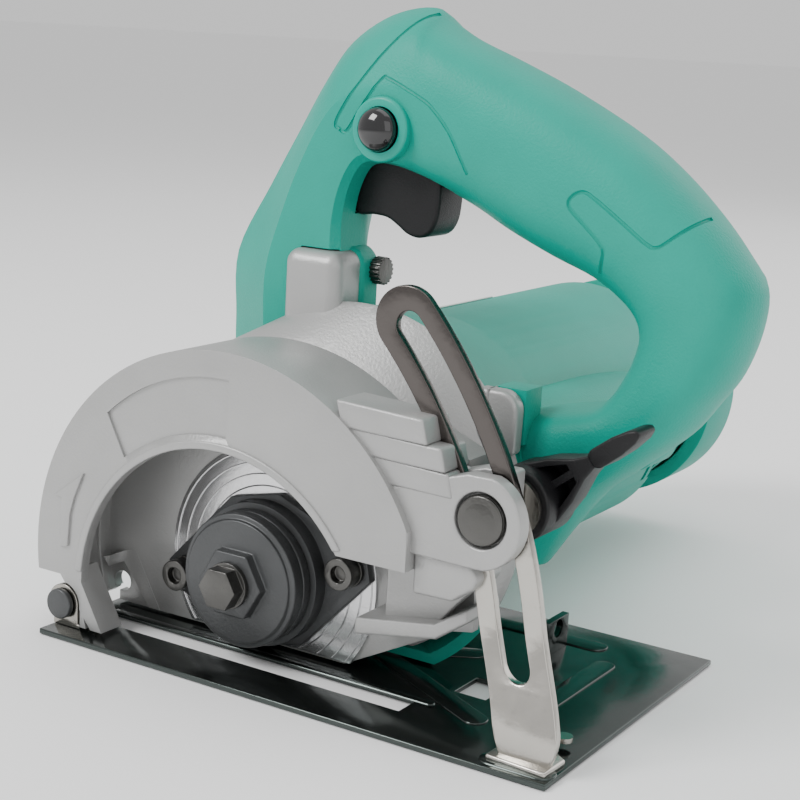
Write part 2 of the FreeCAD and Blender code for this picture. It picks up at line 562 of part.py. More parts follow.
side_vents = [block(-60, 60, y, y + 2.6, MOTOR[1] - 16, MOTOR[1] + 2) for y in (121.0, 126.0, 131.0)]
casing_ear = block(34.0, 42.5, "case_rear + 0.05", 4.0, 66.0, 80.0)
node("motor_housing", cut(fuse(casing, casing_ear), brush_bore, rod(2.5, -6, 3, 38.3, 74.0), *side_vents,
                          name="casing_bores"))
COVER_FRONT = 154.0
cover_slots = [block(-27, 15, "cover_rear - 4", "cover_rear + 1", 50.0 + z, 50.0 + z + 2.6)
               for z in (-15.0, -9.0, -3.0, 3.0, 9.0, 15.0)]
node("rear_cover", cut(rod("cover_radius", COVER_FRONT, "cover_rear", *COVER_AXIS),
                       rod("neck_radius + 1.4", COVER_FRONT - 1, "barrel_rear + 0.3", *COVER_AXIS),
                       rod("cover_radius - case_wall", "barrel_rear + 0.2", "cover_rear - 3", *COVER_AXIS),
                       *cover_slots, name="rear_cover_solid"))

# ------------------------------------------------------------------ electric motor
lamination = axis_ring("stator_radius", "armature_radius + air_gap", "stator_front", "stator_rear", MOTOR_AXIS)
node("stator_core", lamination)
coils = []
for front, rear in ((29.5, 37.9), (88.1, 97.0)):
    ring = axis_ring(29.5, 21.0, front, rear, MOTOR_AXIS)
    coils.append(cut(ring, block(MOTOR[0] - 40, MOTOR[0] + 40, front - 1, rear + 1,
                                 MOTOR[1] - 9, MOTOR[1] + 9)))
node("field_coils", fuse(*coils, name="coil_ends"))
slots = [rod(1.9, "stator_front - 1", "stator_rear + 1",
             MOTOR[0] + 17.2 * math.cos(math.radians(a)), MOTOR[1] + 17.2 * math.sin(math.radians(a)))
         for a in range(0, 360, 30)]
node("armature_core", cut(axis_ring("armature_radius", 5.0, "stator_front", "stator_rear", MOTOR_AXIS), *slots))
node("armature_windings", fuse(axis_ring(17.0, 5.0, 30.0, 37.9, MOTOR_AXIS),
                               axis_ring(17.0, 5.0, 88.1, 100.0, MOTOR_AXIS)))
shaft = fuse(rod(5.0, -4.0, 138.0, *MOTOR_AXIS), rod(4.0, GEAR_FRONT - 0.2, -3.0, *MOTOR_AXIS),
             rod(4.0, 137.0, 148.0, *MOTOR_AXIS))
node("armature_shaft", shaft)
node("commutator", axis_ring("commutator_radius", 5.0, 102.0, 118.0, MOTOR_AXIS))
blades = []
for index in range(11):
    blade = doc.addObject("Part::Box", "fan_blade")
    blade.Length, blade.Width, blade.Height = 17.0, 9.0, 1.4
    turn = Rotation(Vector(0, 1, 0), 360.0 * index / 11)
    spot = turn.multVec(Vector(10.0, 0, -0.7)) + Vector(MOTOR[0], 14.0, MOTOR[1])
    blade.Placement = Placement(spot, turn)
    blades.append(blade)
node("cooling_fan", fuse(axis_ring("fan_radius", 5.0, 22.8, 25.0, MOTOR_AXIS),
                         axis_ring(11.0, 5.0, 14.0, 23.0, MOTOR_AXIS), *blades))
node("fan_baffle", axis_ring("barrel_bore - 0.3", 22.0, 26.6, 28.6, MOTOR_AXIS))

holders = []
brushes = []
springs = []
caps = []
for side in (-1, 1):
    def radial(inner, outer):
        """X limits of a piece on one side of the motor axis."""
        ends = sorted((MOTOR[0] + side * inner, MOTOR[0] + side * outer))
        return ends[0], ends[1]
    x0, x1 = radial(14.5, 33.5)
    hx0, hx1 = radial(13.0, 34.5)
    holders.append(cut(block(x0, x1, brush_y - 4.5, brush_y + 4.5, MOTOR[1] - 3.7, MOTOR[1] + 3.7),
                       block(hx0, hx1, brush_y - 4, brush_y + 4, MOTOR[1] - 3, MOTOR[1] + 3)))
    x0, x1 = radial(12.8, 25.0)
    brushes.append(block(x0, x1, brush_y - 3.9, brush_y + 3.9, MOTOR[1] - 2.9, MOTOR[1] + 2.9))
    x0, x1 = radial(25.1, 33.4)
    springs.append(cut(bar(2.8, x0, x1, brush_y, MOTOR[1]), bar(2.0, x0 - 1, x1 + 1, brush_y, MOTOR[1])))
    x0, x1 = radial(33.6, 38.0)
    caps.append(bar(5.9, x0, x1, brush_y, MOTOR[1]))
node("brush_holders", fuse(*holders))
node("carbon_brushes", fuse(*brushes))
node("brush_springs", fuse(*springs))
node("brush_caps", fuse(*caps))

# ---------------------------------------------------------------------- handle
OUTER = [(-61.2, 78.0), (-61.0, 102.4), (-50.2, 122.2), (-33.0, 151.6), (-24.9, 161.8), (-13.0, 169.6),
         (-0.7, 171.6), (10.9, 165.5), (39.5, 153.0), (58.0, 144.3), (80.4, 127.0), (88.5, 118.0),
         (94.6, 110.6), (94.1, 99.8), (90.5, 88.2), (79.2, 71.6), (58.5, 54.5), (44.5, 34.0),
         (38.0, 22.0), (20.0, 60.0), (36.8, 74.0),
         (41.0, 76.2), (60.0, 77.5, 1), (72.0, 89.3), (74.5, 97.0, 1), (70.5, 103.7), (59.1, 109.4),
         (46.3, 117.7), (23.1, 126.5), (17.0, 131.0), (-13.7, 132.5), (-13.5, 113.0), (-6.0, 110.5),
         (-6.0, 86.0), (-6.0, 70.0), (-40.0, 70.0)]
case_room = cone_loft(("case_radius + 0.4", "case_rear - 0.4", *CASE_AXIS),
                      ("barrel_radius + 0.4", CONE_REAR, *MOTOR_AXIS), "case_room")
case_room_up = cone_loft(("case_radius + 0.4", "case_rear - 0.4", *CASE_AXIS),
                         ("upper_radius + 0.4", CONE_REAR + 4, *UPPER_AXIS), "case_room_up")
case_room_front = cone_loft(("case_front_radius + 0.4", "guard_back", *SPINDLE_AXIS),
                            ("case_radius + 0.4", "case_rear", *CASE_AXIS), "case_room_front")


TRIGGER = [(-18.6, 138.0), (-18.6, 122.0), (-17.0, 117.4), (-6.0, 117.6), (-2.0, 116.4), (1.0, 114.2),
           (5.7, 113.4), (10.1, 116.0), (12.2, 122.4), (12.2, 138.0)]
TRIGGER_Y = (5.5, 20.5)
TRIGGER_PIVOT = (-15.0, 135.0)


def handle_half(label, near, far, cavity_near, cavity_far):
    """One half of the handle: the outline, hollowed, and cleared of the casing."""
    solid = prism(OUTER, near, far, label + "_solid")
    flat = sketch(OUTER, 0.0, label + "_cavity_outline")
    flat.setExpression("Placement.Base.y", cell(cavity_near))
    inner = doc.addObject("Part::Offset2D", label + "_inner")
    inner.Source = flat
    inner.setExpression("Value", "-" + cell("shell_wall"))
    hollow_out = doc.addObject("Part::Extrusion", label + "_hollow")
    hollow_out.Base = inner
    hollow_out.DirMode = "Custom"
    hollow_out.Dir = Vector(0, 1, 0)
    hollow_out.setExpression("LengthFwd", "(%s) - (%s)" % (cell(cavity_far), cell(cavity_near)))
    hollow_out.Solid = True
    room = [case_room, case_room_front,
            block(BOSS[0] - 0.4, BOSS[1] + 0.4, -10, BOSS[3] + 0.4, 60, BOSS[5] + 0.4),
            case_room_up, rod("upper_radius + 0.4", CONE_REAR, 60, *UPPER_AXIS),
            rod("barrel_radius + 0.4", 20, 60, *MOTOR_AXIS),
            block(33.6, 42.9, -13, 4.4, 65.6, 80.4), bar(2.3, -40, 0, *HANDLE_SCREW),
            rod(2.0, "handle_near + shell_wall", "handle_far - shell_wall", *TRIGGER_PIVOT)]
    return cut(solid, hollow_out, *room, name=label + "_cleared")


left_raw = handle_half("handle_left", "handle_near", "handle_mid - 0.02",
                       "handle_near + shell_wall", "handle_mid + 1")
right_raw = handle_half("handle_right", "handle_mid", "handle_far",
                        "handle_mid - 1", "handle_far - shell_wall")
trigger_room = prism([(-19.4, 139.5), (-19.4, 115.0), (13.6, 115.0), (13.6, 142.0), (4.0, 143.5)],
                     TRIGGER_Y[0] - 0.5, TRIGGER_Y[1] + 0.5, "trigger_room")
button_room = rod("button_radius + 0.06", -20, 6, "button_x", "button_z")
collar = rod(8.6, "handle_near - 1.2", "handle_near + 1", "button_x", "button_z")
screw_holes = ((-40.0, 108.0), (-14.0, 158.0), (30.0, 148.0), (84.0, 108.0), (64.0, 66.0))
near_bosses = [rod(4.5, "handle_near + 1", "handle_mid - 0.02", x, z) for x, z in screw_holes]
node("handle_left", cut(fuse(left_raw, collar, *near_bosses), button_room, trigger_room,
                        *[rod(1.9, "handle_mid - 9.5", 20, x, z) for x, z in screw_holes],
                        name="handle_left_final"))
bosses = [rod(4.5, "handle_mid", "handle_far - 1", x, z) for x, z in screw_holes]
node("handle_right", cut(fuse(right_raw, *bosses), trigger_room,
                         *[rod(1.9, 0, 40, x, z) for x, z in screw_holes],
                         *[rod(3.9, "handle_far - 3", 40, x, z) for x, z in screw_holes],
                         name="handle_right_final"))
post_bores = [fuse(rod(3.6, "handle_far - 2.9", "handle_far - 0.4", x, z),
                   rod(1.85, "handle_mid - 9", "handle_far - 2", x, z)) for x, z in screw_holes]
node("handle_screws", fuse(*post_bores))
node("handle_front_screw", fuse(bar(3.6, -12.4, -9.0, *HANDLE_SCREW), bar(2.1, -27.0, -12.0, *HANDLE_SCREW),
                                name="front_screw"))

node("trigger", cut(prism(TRIGGER, TRIGGER_Y[0], TRIGGER_Y[1], "trigger_solid"),
                    rod(2.06, 0, 30, *TRIGGER_PIVOT)))
node("trigger_pin", rod(2.0, "handle_near + shell_wall + 0.02", "handle_far - shell_wall - 0.02",
                        *TRIGGER_PIVOT, name="trigger_pin_rod"))
node("switch_body", block(-8.0, 19.0, 5.0, 22.0, 145.0, 152.5, name="switch_case"))
node("trigger_spring", cut(post(2.2, 138.3, 144.8, 8.0, 13.0), post(1.5, 130, 150, 8.0, 13.0)))
node("lock_button", fuse(rod("button_radius", -8.4, 1.5, "button_x", "button_z"),
                         rod("button_radius - 1.8", -10.2, -8, "button_x", "button_z")))
node("lock_spring", axis_ring(4.0, 3.2, 1.6, 3.4, ("button_x", "button_z")))
node("nameplate", common(axis_ring("upper_radius + 0.5", "upper_radius + 0.02", 40.0, 92.0, UPPER_AXIS),
                         block(-30.0, -14.0, 43, 79, 70, 100)))

doc.recompute()
problems = [o.Name for o in doc.Objects if "Invalid" in o.State or "Error" in o.State]
for label, obj in NODES:
    shape = obj.Shape
    if shape.isNull() or not shape.isValid() or not shape.Solids:
        problems.append(label)
if problems:
    raise SystemExit("failed objects: " + ", ".join(problems))
for label, obj in NODES:
    obj.Shape.exportStep("parts/%s.step" % label)
    print("%-24s solids %d volume %.0f" % (label, len(obj.Shape.Solids), obj.Shape.Volume))
print("nodes", len(NODES))
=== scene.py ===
# %% [markdown]
# # A hand-held stone cutter
# The CAD model is loaded as a fixed frame. Cast, moulded and sheet pieces are then modelled around
# it, so each one keeps the size and place that the design gives it.

# %% Load the frame
import bpy
import json
import math
from mathutils import Matrix, Vector


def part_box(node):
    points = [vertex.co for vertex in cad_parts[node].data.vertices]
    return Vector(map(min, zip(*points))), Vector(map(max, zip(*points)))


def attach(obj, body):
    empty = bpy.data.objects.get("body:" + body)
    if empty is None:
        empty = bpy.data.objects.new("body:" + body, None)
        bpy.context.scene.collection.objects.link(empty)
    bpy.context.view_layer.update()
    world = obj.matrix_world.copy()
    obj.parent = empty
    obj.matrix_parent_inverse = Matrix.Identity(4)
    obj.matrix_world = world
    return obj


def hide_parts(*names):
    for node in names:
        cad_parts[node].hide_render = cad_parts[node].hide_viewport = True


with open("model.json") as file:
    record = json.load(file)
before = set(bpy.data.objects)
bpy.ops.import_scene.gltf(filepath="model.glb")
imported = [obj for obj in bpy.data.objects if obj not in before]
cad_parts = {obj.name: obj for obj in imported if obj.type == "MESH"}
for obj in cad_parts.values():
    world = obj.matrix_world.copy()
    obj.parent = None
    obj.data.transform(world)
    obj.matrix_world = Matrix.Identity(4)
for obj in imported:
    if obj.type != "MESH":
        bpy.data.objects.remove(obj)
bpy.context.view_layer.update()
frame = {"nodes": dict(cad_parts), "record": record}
MM = 0.001


# %% Where the main axes are
def middle(node):
    """The centre of a CAD node's box, in millimetres, as X and Z."""
    low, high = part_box(node)
    return (low.x + high.x) / 2 / MM, (low.z + high.z) / 2 / MM


SPINDLE = middle("inner_flange")
BOLT = middle("clamp_washer")
BUTTON = middle("lock_button")
print("spindle", SPINDLE, "bolt", BOLT, "button", BUTTON)


# %% [markdown]
# ## Finishes
# Each finish is a small node tree on Object coordinates, so it stays on the piece in every view.
# A fine noise breaks up the roughness and a bump gives the grain. Constants sit on the shader.

# %% Helpers for node materials
def new_finish(name, color, rough, metal=0.0, coat=0.0, specular=0.5):
    """A material with its plain values set on the shader's own sockets."""
    mat = bpy.data.materials.new(name)
    mat.use_nodes = True
    shader = mat.node_tree.nodes["Principled BSDF"]
    shader.inputs["Base Color"].default_value = (*color, 1)
    shader.inputs["Roughness"].default_value = rough
    shader.inputs["Metallic"].default_value = metal
    shader.inputs["Coat Weight"].default_value = coat
    shader.inputs["Specular IOR Level"].default_value = specular
    return mat, mat.node_tree, shader


def noise(tree, scale, detail=4.0, stretch=(1, 1, 1)):
    """Noise over the piece; scale counts features in a metre."""
    coords = tree.nodes.new("ShaderNodeTexCoord")
    place = tree.nodes.new("ShaderNodeMapping")
    place.inputs["Scale"].default_value = stretch
    tree.links.new(coords.outputs["Object"], place.inputs["Vector"])
    grain = tree.nodes.new("ShaderNodeTexNoise")
    grain.inputs["Scale"].default_value = scale
    grain.inputs["Detail"].default_value = detail
    tree.links.new(place.outputs["Vector"], grain.inputs["Vector"])
    return grain.outputs["Fac"]


def ramp(tree, factor, stops):
    """A colour ramp through (place, colour) stops."""
    node = tree.nodes.new("ShaderNodeValToRGB")
    while len(node.color_ramp.elements) < len(stops):
        node.color_ramp.elements.new(0.5)
    for element, (place, color) in zip(node.color_ramp.elements, stops):
        element.position = place
        element.color = (*color, 1) if len(color) == 3 else color
    tree.links.new(factor, node.inputs["Fac"])
    return node.outputs["Color"]


def vary_rough(tree, shader, factor, low, high):
    """Roughness that follows a texture."""
    spread = tree.nodes.new("ShaderNodeMapRange")
    spread.inputs["To Min"].default_value = low
    spread.inputs["To Max"].default_value = high
    tree.links.new(factor, spread.inputs["Value"])
    tree.links.new(spread.outputs["Result"], shader.inputs["Roughness"])


def bump(tree, shader, factor, depth, strength=1.0):
    """Fine relief, depth in metres."""
    relief = tree.nodes.new("ShaderNodeBump")
    relief.inputs["Strength"].default_value = strength
    relief.inputs["Distance"].default_value = depth
    tree.links.new(factor, relief.inputs["Height"])
    tree.links.new(relief.outputs["Normal"], shader.inputs["Normal"])


def grainy(name, color, rough, metal=0.0, scale=900.0, depth=0.00006, shade=0.9, coat=0.0,
           spread=0.06, stretch=(1, 1, 1), specular=0.5):
    """A finish with fine grain: a slight change of tone, roughness and relief."""
    mat, tree, shader = new_finish(name, color, rough, metal, coat, specular)
    fine = noise(tree, scale, 5.0, stretch)
    broad = noise(tree, scale / 22, 3.0)
    darker = tuple(c * shade for c in color)
    tone = ramp(tree, broad, [(0.3, darker), (0.7, color)])
    tree.links.new(tone, shader.inputs["Base Color"])
    vary_rough(tree, shader, fine, rough - spread, rough + spread)
    bump(tree, shader, fine, depth)
    return mat


# %% The finishes
TEAL = grainy("teal_plastic", (0.0, 0.325, 0.245), 0.46, scale=1500, depth=0.00012, shade=0.93,
              specular=0.24)
TEAL_SMOOTH = grainy("teal_smooth", (0.0, 0.335, 0.255), 0.34, scale=900, depth=0.00003, shade=0.95,
                     specular=0.3)
CAST = grainy("cast_alloy", (0.40, 0.40, 0.395), 0.42, metal=0.45, scale=1300, depth=0.0001, shade=0.93)
CAST_BRIGHT = grainy("machined_alloy", (0.80, 0.80, 0.81), 0.24, metal=0.9, scale=800, depth=0.00004)
PLATED = grainy("plated_steel", (0.085, 0.10, 0.095), 0.17, metal=0.95, scale=90, depth=0.00012, shade=0.55)
BRIGHT = grainy("bright_steel", (0.47, 0.45, 0.41), 0.24, metal=1.0, scale=260, depth=0.00012, shade=0.7)
BLACK_STEEL = grainy("black_steel", (0.085, 0.088, 0.09), 0.42, metal=0.6, scale=1200, depth=0.0001, shade=0.8)
DARK_BOLT = grainy("dark_bolt", (0.13, 0.128, 0.122), 0.30, metal=0.95, scale=900, depth=0.0001, shade=0.6)
BLACK = grainy("black_plastic", (0.008, 0.008, 0.009), 0.42, scale=2200, depth=0.0001, shade=0.8, specular=0.3)
GLOSS_BLACK = grainy("gloss_black", (0.006, 0.006, 0.007), 0.10, scale=300, depth=0.00001, coat=0.5,
                     spread=0.02)
GEAR_STEEL = grainy("gear_steel", (0.35, 0.35, 0.36), 0.30, metal=1.0, scale=500)
COPPER = grainy("copper_wire", (0.65, 0.26, 0.12), 0.34, metal=0.9, scale=700, stretch=(1, 12, 1),
                depth=0.0003)
LAMINATION = grainy("lamination", (0.16, 0.16, 0.17), 0.5, metal=0.7, scale=250, stretch=(1, 30, 1),
                    depth=0.0003)
BRASS = grainy("brass_parts", (0.62, 0.45, 0.18), 0.3, metal=1.0)
CARBON = grainy("carbon", (0.02, 0.02, 0.022), 0.6)
LABEL = grainy("label_white", (0.78, 0.79, 0.77), 0.35, scale=500, depth=0.00002)


def steel_with_painted_lit_foot():
    """The arm's strip: dark mottled plating above, and a painted highlight that makes it bright towards the
    foot, where the bent legs catch more light.
    """
    mat = grainy("strip_steel", (0.5, 0.48, 0.44), 0.24, metal=1.0, scale=260, depth=0.00012, shade=0.7)
    tree = mat.node_tree
    shader = tree.nodes["Principled BSDF"]
    coords = tree.nodes.new("ShaderNodeTexCoord")
    height = tree.nodes.new("ShaderNodeSeparateXYZ")
    tree.links.new(coords.outputs["Object"], height.inputs["Vector"])
    # Painted highlight: below 48 mm the ramp gives bright steel for the light on the bent legs; above 62 mm it
    # gives the dark mottled plating.
    level = tree.nodes.new("ShaderNodeMapRange")
    level.inputs["From Min"].default_value = 48 * MM
    level.inputs["From Max"].default_value = 62 * MM
    tree.links.new(height.outputs["Z"], level.inputs["Value"])
    mottle = tree.nodes.new("ShaderNodeMath")
    mottle.operation = "MULTIPLY_ADD"
    mottle.inputs[1].default_value = 0.5
    tree.links.new(noise(tree, 420), mottle.inputs[0])
    tree.links.new(level.outputs["Result"], mottle.inputs[2])
    tone = ramp(tree, mottle.outputs["Value"],
                [(0.3, (0.52, 0.50, 0.46)), (0.75, (0.24, 0.22, 0.20)), (1.0, (0.10, 0.09, 0.085))])
    tree.links.new(tone, shader.inputs["Base Color"])
    return mat


STRIP = steel_with_painted_lit_foot()
FINISHES = {
    "plated_steel": PLATED, "bright_steel": BRIGHT, "black_steel": BLACK_STEEL, "cast_alloy": CAST,
    "dark_bolt": DARK_BOLT, "black_plastic": BLACK, "gloss_black": GLOSS_BLACK, "bearing_steel": GEAR_STEEL,
    "gear_steel": GEAR_STEEL, "teal_plastic": TEAL, "lamination": LAMINATION, "copper_wire": COPPER,
    "brass_parts": BRASS, "carbon": CARBON, "label_white": LABEL}
SLOT_OF = {entry["node"]: entry["material_slot"] for entry in frame["record"]["subparts"]}
for name, node in frame["nodes"].items():
    node.data.materials.clear()
    node.data.materials.append(FINISHES[SLOT_OF[name]])
print("finishes", len(FINISHES))


# %% [markdown]
# ## Small modelling helpers
# Operators act on everything that is selected, so each helper clears the selection first. A piece
# ends with its place in its mesh and its object at the origin.

# %% Helpers for modelling
def only(obj):
    """Select one object and make it active."""
    bpy.ops.object.select_all(action="DESELECT")
    obj.select_set(True)
    bpy.context.view_layer.objects.active = obj
    return obj


def settle(obj):
    """Put the object's place into its mesh."""
    only(obj)
    bpy.ops.object.transform_apply(location=True, rotation=True, scale=True)
    return obj


def modify(obj, kind, **values):
    """Add a modifier, set it and apply it."""
    only(obj)
    mod = obj.modifiers.new(kind.lower(), kind)
    for key, value in values.items():
        setattr(mod, key, value)
    bpy.ops.object.modifier_apply(modifier=mod.name)
    return obj


def smooth(obj, degrees=35.0):
    """Smooth shading up to an angle."""
    only(obj)
    bpy.ops.object.shade_smooth_by_angle(angle=math.radians(degrees))
    return obj


def boolean(obj, tool, operation="DIFFERENCE", crossing=False):
    """Cut or join a tool piece, then remove the tool; crossing allows a piece that meets itself."""
    modify(obj, "BOOLEAN", operation=operation, object=tool, solver="EXACT", use_self=crossing)
    bpy.data.objects.remove(tool)
    return obj


def finish_piece(obj, name, body, finish, *nodes, angle=35.0):
    """Name a piece, give it its finish and body, and hide the CAD nodes that it stands for."""
    obj.name = name
    obj.data.name = name
    obj.data.materials.clear()
    obj.data.materials.append(finish)
    smooth(obj, angle)
    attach(obj, body)
    if nodes:
        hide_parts(*nodes)
    return obj


def rounded_copy(node, width, segments=3, angle=32.0):
    """A copy of a CAD node with its doubles merged, its flats joined and its edges rounded."""
    source = frame["nodes"][node]
    obj = bpy.data.objects.new(node + "_look", source.data.copy())
    bpy.context.scene.collection.objects.link(obj)
    only(obj)
    bpy.ops.object.mode_set(mode="EDIT")
    bpy.ops.mesh.select_all(action="SELECT")
    bpy.ops.mesh.remove_doubles(threshold=0.00001)
    bpy.ops.mesh.dissolve_limited(angle_limit=math.radians(0.5))
    bpy.ops.object.mode_set(mode="OBJECT")
    modify(obj, "BEVEL", width=width * MM, segments=segments, limit_method="ANGLE",
           angle_limit=math.radians(angle), use_clamp_overlap=True, harden_normals=False)
    return obj


def skin(rings):
    """A closed tube through rings of points, all with the same count, with both ends filled."""
    rows, columns = len(rings), len(rings[0]) + 1
    bpy.ops.object.select_all(action="DESELECT")
    bpy.ops.mesh.primitive_grid_add(x_subdivisions=columns - 1, y_subdivisions=rows - 1, size=1.0)
    obj = bpy.context.object
    for row, ring in enumerate(rings):
        for column in range(columns):
            obj.data.vertices[row * columns + column].co = Vector(ring[column % (columns - 1)]) * MM
    bpy.ops.object.mode_set(mode="EDIT")
    bpy.ops.mesh.select_all(action="SELECT")
    bpy.ops.mesh.remove_doubles(threshold=0.000002)
    bpy.ops.mesh.fill_holes(sides=0)
    bpy.ops.mesh.normals_make_consistent(inside=False)
    bpy.ops.object.mode_set(mode="OBJECT")
    return obj


def curve_through(points, steps):
    """Points on a smooth path through the given ones (Catmull-Rom), steps for each stretch."""
    found = []
    for i in range(len(points) - 1):
        p0, p1, p2, p3 = (points[max(i - 1, 0)], points[i], points[i + 1], points[min(i + 2, len(points) - 1)])
        for step in range(steps):
            t = step / steps
            found.append(tuple(0.5 * (2 * b + (c - a) * t + (2 * a - 5 * b + 4 * c - d) * t * t
                                      + (3 * b - a - 3 * c + d) * t ** 3)
                               for a, b, c, d in zip(p0, p1, p2, p3)))
    return found + [tuple(points[-1])]


def prism(points, near, far, bevel=0.6, segments=3):
    """A flat outline in X and Z pulled from near to far in Y, in millimetres, with rounded edges."""
    bpy.ops.object.select_all(action="DESELECT")
    bpy.ops.mesh.primitive_circle_add(vertices=len(points), radius=1.0, fill_type="NGON")
    obj = bpy.context.object
    for vertex, (x, z) in zip(obj.data.vertices, points):
        vertex.co = (x * MM, near * MM, z * MM)
    bpy.ops.object.mode_set(mode="EDIT")
    bpy.ops.mesh.select_all(action="SELECT")
    bpy.ops.mesh.extrude_region_move(TRANSFORM_OT_translate={"value": (0, (far - near) * MM, 0)})
    bpy.ops.mesh.select_all(action="SELECT")
    bpy.ops.mesh.normals_make_consistent(inside=False)
    bpy.ops.object.mode_set(mode="OBJECT")
    if bevel:
        modify(obj, "BEVEL", width=bevel * MM, segments=segments, limit_method="ANGLE",
               angle_limit=math.radians(30), use_clamp_overlap=True)
    return obj


def arc(cx, cz, radius, start, end, count=12):
    """Points on an arc in X and Z; angles in degrees."""
    return [(cx + radius * math.cos(math.radians(start + (end - start) * i / (count - 1))),
             cz + radius * math.sin(math.radians(start + (end - start) * i / (count - 1))))
            for i in range(count)]


def join(first, *others):
    """Join pieces into the first one."""
    bpy.ops.object.select_all(action="DESELECT")
    for obj in (first, *others):
        obj.select_set(True)
    bpy.context.view_layer.objects.active = first
    bpy.ops.object.join()
    return first


def groove(obj, points, radius, from_y=-60.0):
    """Cut a round-bottomed groove along a path in X and Z, laid on the piece's near side."""
    only(obj)
    spots = []
    for x, z in points:
        hit, place, _, _ = obj.ray_cast(Vector((x, from_y, z)) * MM, Vector((0, 1, 0)))
        if hit:
            spots.append(place)
    data = bpy.data.curves.new("groove", "CURVE")
    data.dimensions = "3D"
    data.bevel_depth = radius * MM
    data.bevel_resolution = 2
    data.use_fill_caps = True
    spline = data.splines.new("POLY")
    spline.points.add(len(spots) - 1)
    for point, place in zip(spline.points, spots):
        point.co = (*place, 1)
    tool = bpy.data.objects.new("groove", data)
    bpy.context.scene.collection.objects.link(tool)
    only(tool)
    bpy.ops.object.convert(target="MESH")
    tool = bpy.context.view_layer.objects.active
    bpy.ops.object.mode_set(mode="EDIT")
    bpy.ops.mesh.select_all(action="SELECT")
    bpy.ops.mesh.remove_doubles(threshold=0.000001)
    bpy.ops.mesh.normals_make_consistent(inside=False)
    bpy.ops.object.mode_set(mode="OBJECT")
    return boolean(obj, tool, crossing=True)


# %% [markdown]
# ## The loop handle
# The real handle is two moulded halves screwed together: a faceted strut at the front, a round grip
# on top and a lower bar that runs into the motor casing. A skin through stations gives that change
# of section. Each station is an outer and an inner point of the loop and the shape of its section.

# %% The handle's stations
HANDLE_MIDDLE, HANDLE_HALF = 13.0, 17.0
WEDGE = [(1.0, 0.06), (0.06, 1.0), (-0.35, 1.0), (-1.0, -0.15), (-1.0, -0.9), (-0.9, -1.0), (0.06, -1.0),
         (1.0, -0.06)]
STATIONS = [
    # outer x, z, inner x, z, wedge share, half thickness
    (-61.0, 74.0, -15.0, 68.0, 1.0, 1.0), (-61.2, 84.0, -15.0, 80.0, 1.0, 1.0),
    (-61.0, 102.4, -15.5, 98.0, 1.0, 1.0), (-50.2, 122.2, -17.0, 112.0, 1.0, 1.0),
    (-41.6, 137.0, -16.0, 122.0, 0.9, 1.0), (-33.0, 151.6, -13.0, 129.0, 0.75, 1.0),
    (-24.9, 162.2, -9.5, 131.0, 0.6, 1.0), (-13.0, 169.6, -4.0, 130.5, 0.45, 1.0),
    (-0.7, 172.0, 3.0, 128.5, 0.3, 1.0), (4.5, 168.5, 8.5, 126.5, 0.15, 1.0),
    (11.0, 164.6, 14.0, 124.2, 0.0, 1.0), (24.0, 159.8, 21.0, 121.2, 0.0, 1.0),
    (39.5, 153.5, 29.5, 117.0, 0.0, 1.0), (58.0, 144.3, 41.5, 112.2, 0.0, 1.0),
    (70.1, 135.9, 53.1, 108.3, 0.0, 1.0), (80.4, 127.0, 60.6, 104.2, 0.05, 1.0),
    (88.5, 118.4, 65.2, 100.3, 0.1, 1.0), (94.2, 110.2, 66.8, 96.0, 0.1, 1.0),
    (94.1, 99.8, 66.2, 91.5, 0.1, 1.0), (90.5, 88.2, 64.4, 86.6, 0.1, 1.0),
    (85.2, 79.9, 61.0, 80.6, 0.1, 1.0), (79.2, 71.6, 56.5, 76.8, 0.1, 1.0),
    (68.1, 61.8, 48.0, 74.8, 0.1, 1.0), (58.5, 53.5, 40.0, 73.0, 0.1, 0.98),
    (50.0, 42.0, 31.0, 69.0, 0.1, 0.95), (43.0, 31.0, 22.0, 60.0, 0.1, 0.9)]


def section(share, count=48):
    """Unit section of the handle: u runs from the inside (-1) to the outside (+1), v across."""
    found = []
    for index in range(count):
        turn = 2 * math.pi * (index + 0.5) / count
        c, s = math.cos(turn), math.sin(turn)
        power = 2.6
        round_reach = (abs(c) ** power + abs(s) ** power) ** (-1 / power)
        wedge_reach = 9.0
        for (u0, v0), (u1, v1) in zip(WEDGE, WEDGE[1:] + WEDGE[:1]):
            across = c * (v1 - v0) - s * (u1 - u0)
            if across > 1e-9:
                reach = (u0 * (v1 - v0) - v0 * (u1 - u0)) / across
                if reach > 0:
                    wedge_reach = min(wedge_reach, reach)
        reach = share * wedge_reach + (1 - share) * round_reach
        found.append((c * reach, s * reach))
    return found


# %% Skin the handle
rings = []
for ox, oz, ix, iz, share, thick in curve_through(STATIONS, 5):
    rings.append([((ox + ix) / 2 + u * (ox - ix) / 2, HANDLE_MIDDLE + v * HANDLE_HALF * thick,
                   (oz + iz) / 2 + u * (oz - iz) / 2) for u, v in section(share)])
handle = skin(rings)
print("handle faces", len(handle.data.polygons))

# %% [markdown]
# A trigger pocket, the wrap round the cast boss and the decorative grooves are then cut into it.

# %% Pocket, wrap and grooves
pocket = prism([(-19.2, 139.5), (-19.2, 117.5), (13.0, 117.5), (13.0, 143.0), (4.0, 144.0)], 4.2, 19.6, 0)
boolean(handle, pocket)
boolean(handle, prism([(2.0, 139.0), (14.0, 139.0), (14.0, 154.0), (2.0, 154.0)], 4.2, 21.8, 0))
boolean(handle, prism(arc(*BUTTON, 6.2, 0, 350, 36), -20.0, 8.0, 0))
BOSS_FRONT, BOSS_REAR, BOSS_TOP, BOSS_ROUND = -31.9, -13.1, 108.4, 4.0
boss_room = prism([(BOSS_FRONT, 60.0), (BOSS_REAR, 60.0), (BOSS_REAR, BOSS_TOP - BOSS_ROUND),
                   (BOSS_REAR - BOSS_ROUND, BOSS_TOP), (BOSS_FRONT + BOSS_ROUND, BOSS_TOP),
                   (BOSS_FRONT, BOSS_TOP - BOSS_ROUND)], -8.4, 9.9, 0)
